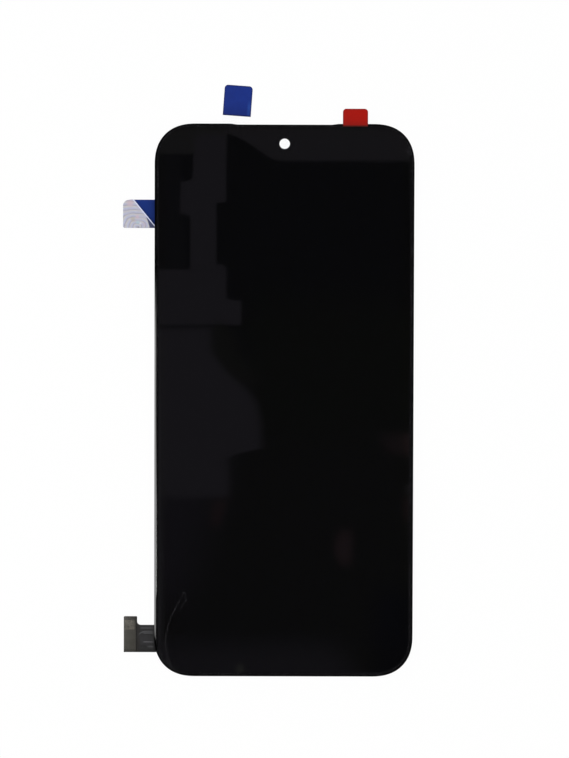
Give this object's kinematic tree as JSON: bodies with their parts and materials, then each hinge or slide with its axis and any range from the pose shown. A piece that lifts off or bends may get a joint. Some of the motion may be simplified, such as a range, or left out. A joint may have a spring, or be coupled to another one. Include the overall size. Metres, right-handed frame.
{
  "type": "phone lcd screen assembly",
  "caption": "Flat phone LCD screen assembly: black cover glass with a centred camera hole over a backlit display, side flex tail with a board connector, protective films with pull tabs.",
  "frame": {"origin": "on the cover glass's centre lines, at the rear face of the rear protective film", "axes": "+Z out of the screen, +Y towards the top edge with the earpiece recess and camera hole, +X to the right seen from the front"},
  "size_m": [0.0775, 0.1578, 0.0029],
  "materials": {
    "cover_glass": "polished clear cover glass with a curved front rim",
    "black_ink": "black ink on the back of the glass",
    "clear_adhesive": "clear optical adhesive",
    "polariser": "dark polarising film",
    "display_glass": "thin display glass",
    "silicon": "bare silicon chip",
    "black_tape": "black double-sided tape",
    "optical_film": "clear ribbed or frosted film",
    "light_guide": "clear moulded light guide",
    "reflector": "white mirror film",
    "frame_plastic": "white moulded polycarbonate",
    "tray_steel": "stamped stainless steel",
    "lamp": "white lamp body with a yellow lens",
    "flex_laminate": "black coverlay over copper traces",
    "capacitor": "brown ceramic with tinned ends",
    "chip_body": "black moulded chip body",
    "connector_plastic": "black moulded connector body",
    "contact_metal": "gold-plated spring metal",
    "stiffener": "olive-grey stiffening plate",
    "textured_pad": "brown-grey textured pad",
    "clear_film": "clear protective film",
    "red_tab": "red pull tab",
    "blue_tab": "blue pull tab with a silvery reverse"
  },
  "bodies": {
    "root": {"red_pull_tab": "red_tab", "front_protective_film": "clear_film", "cover_glass": "cover_glass", "border_print": "black_ink", "optical_adhesive": "clear_adhesive", "front_polariser": "polariser", "colour_filter_glass": "display_glass", "array_glass": "display_glass", "driver_chip": "silicon", "driver_tape": "black_tape", "rear_polariser": "polariser", "rim_tape": "black_tape", "camera_seal": "black_tape", "prism_film_upper": "optical_film", "prism_film_lower": "optical_film", "diffuser_film": "optical_film", "light_guide": "light_guide", "reflector_film": "reflector", "backlight_frame": "frame_plastic", "backlight_tray": "tray_steel", "backlight_leds": "lamp", "led_flex": "flex_laminate", "main_flex": "flex_laminate", "flex_tape": "black_tape", "capacitors": "capacitor", "memory_chip": "chip_body", "diodes": "chip_body", "connector_plug": "connector_plastic", "connector_contacts": "contact_metal", "connector_hold_downs": "contact_metal", "connector_stiffener": "stiffener", "connector_pad": "textured_pad", "rear_protective_film": "clear_film", "top_pull_tab": "blue_tab", "side_pull_tab": "blue_tab"}
  },
  "joints": []
}
